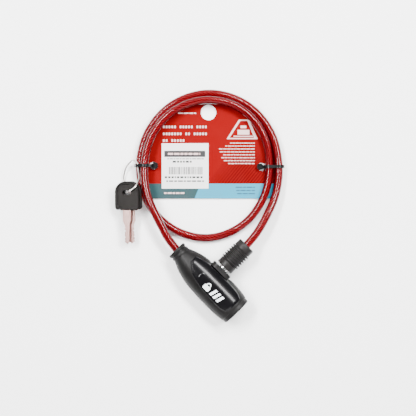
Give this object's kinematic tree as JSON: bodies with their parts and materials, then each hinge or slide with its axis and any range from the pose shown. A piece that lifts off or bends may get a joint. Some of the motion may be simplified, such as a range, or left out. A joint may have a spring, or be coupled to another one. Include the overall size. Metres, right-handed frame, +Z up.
{
  "type": "cable luggage lock",
  "caption": "Keyed cable lock with a coiled red vinyl covered steel cable, a black lock housing, a ribbed pin connector, keys on a wire ring and a printed hang card.",
  "frame": {"origin": "bottom centre of the packed lock's box, cable left out, on the surface it lies on", "axes": "+Z up from the surface, +Y from the coil's middle towards the card's hang hole"},
  "size_m": [0.1357, 0.1862, 0.0252],
  "materials": {
    "housing_plastic": "smooth satin black moulding",
    "side_plastic": "fine grained black moulding",
    "panel_plastic": "glossy black moulding",
    "cap_plastic": "matte black moulding",
    "sleeve_plastic": "matte charcoal moulding",
    "red_vinyl": "glossy see-through red vinyl",
    "rope_steel": "twisted galvanised strands",
    "screw_steel": "zinc plated",
    "pin_steel": "nickel plated and polished",
    "ferrule_metal": "plain crimped",
    "cast_zinc": "as cast zinc alloy",
    "plug_brass": "nickel washed brass",
    "printed_card": "coated print on board",
    "sticker_paper": "matt white paper label",
    "tie_nylon": "smooth black nylon",
    "ring_wire": "bright wire",
    "key_nickel": "nickel plated",
    "key_plastic": "satin black moulding"
  },
  "bodies": {
    "lock_body": {"housing_front": "housing_plastic", "housing_rear": "side_plastic", "front_panel": "panel_plastic", "housing_screws": "screw_steel", "gland_collar": "side_plastic", "cable_stop_ferrule": "ferrule_metal", "port_collar": "side_plastic", "end_cap": "cap_plastic", "lock_core": "cast_zinc", "hang_card": "printed_card", "price_sticker": "sticker_paper", "cable_tie_left": "tie_nylon", "cable_tie_right": "tie_nylon", "cable_rope": "rope_steel", "cable_jacket": "red_vinyl"},
    "plug": {"barrel_plug": "plug_brass", "wafers": "plug_brass", "wafer_springs": "screw_steel", "lock_cam": "cast_zinc", "cam_screw": "screw_steel"},
    "bolt": {"locking_bolt": "pin_steel"},
    "connector": {"shackle_pin": "pin_steel", "pin_crimp": "ferrule_metal", "connector_sleeve": "sleeve_plastic"},
    "ring": {"key_ring": "ring_wire"},
    "front_key": {"key_front_blade": "key_nickel", "key_front_head": "key_plastic"},
    "rear_key": {"key_rear_blade": "key_nickel", "key_rear_head": "key_plastic"}
  },
  "joints": [
    {"name": "key_turn", "type": "hinge", "parent": "lock_body", "child": "plug", "pos_m": [0.02303, -0.07531, 0.01235], "axis": [-0.6972, 0.7169, 0], "range_deg": [0, 90]},
    {"name": "bolt_slide", "type": "slide", "parent": "lock_body", "child": "bolt", "axis": [0, 0, -1], "range_m": [0, 0.00368]},
    {"name": "pin_pull", "type": "slide", "parent": "lock_body", "child": "connector", "axis": [0.7169, 0.6972, 0], "range_m": [0, 0.024], "deforming": ["cable_jacket", "cable_rope"]},
    {"name": "ring_swing", "type": "hinge", "parent": "lock_body", "child": "ring", "pos_m": [-0.0495, 0.0345, 0.0097], "axis": [-0.2, 0.97, -0.138], "range_deg": [0, 20]},
    {"name": "front_key_swing", "type": "hinge", "parent": "ring", "child": "front_key", "pos_m": [-0.0562, 0.0133, 0.01], "axis": [0.275, 0.0698, -0.9589], "range_deg": [0, 8]},
    {"name": "rear_key_swing", "type": "hinge", "parent": "ring", "child": "rear_key", "pos_m": [-0.0562, 0.0133, 0.01], "axis": [0.275, 0.0698, -0.9589], "range_deg": [0, 6]}
  ],
  "couplings": [
    {"joint": "bolt_slide", "follows": "key_turn", "m_per_rad": 0.0023412}
  ]
}
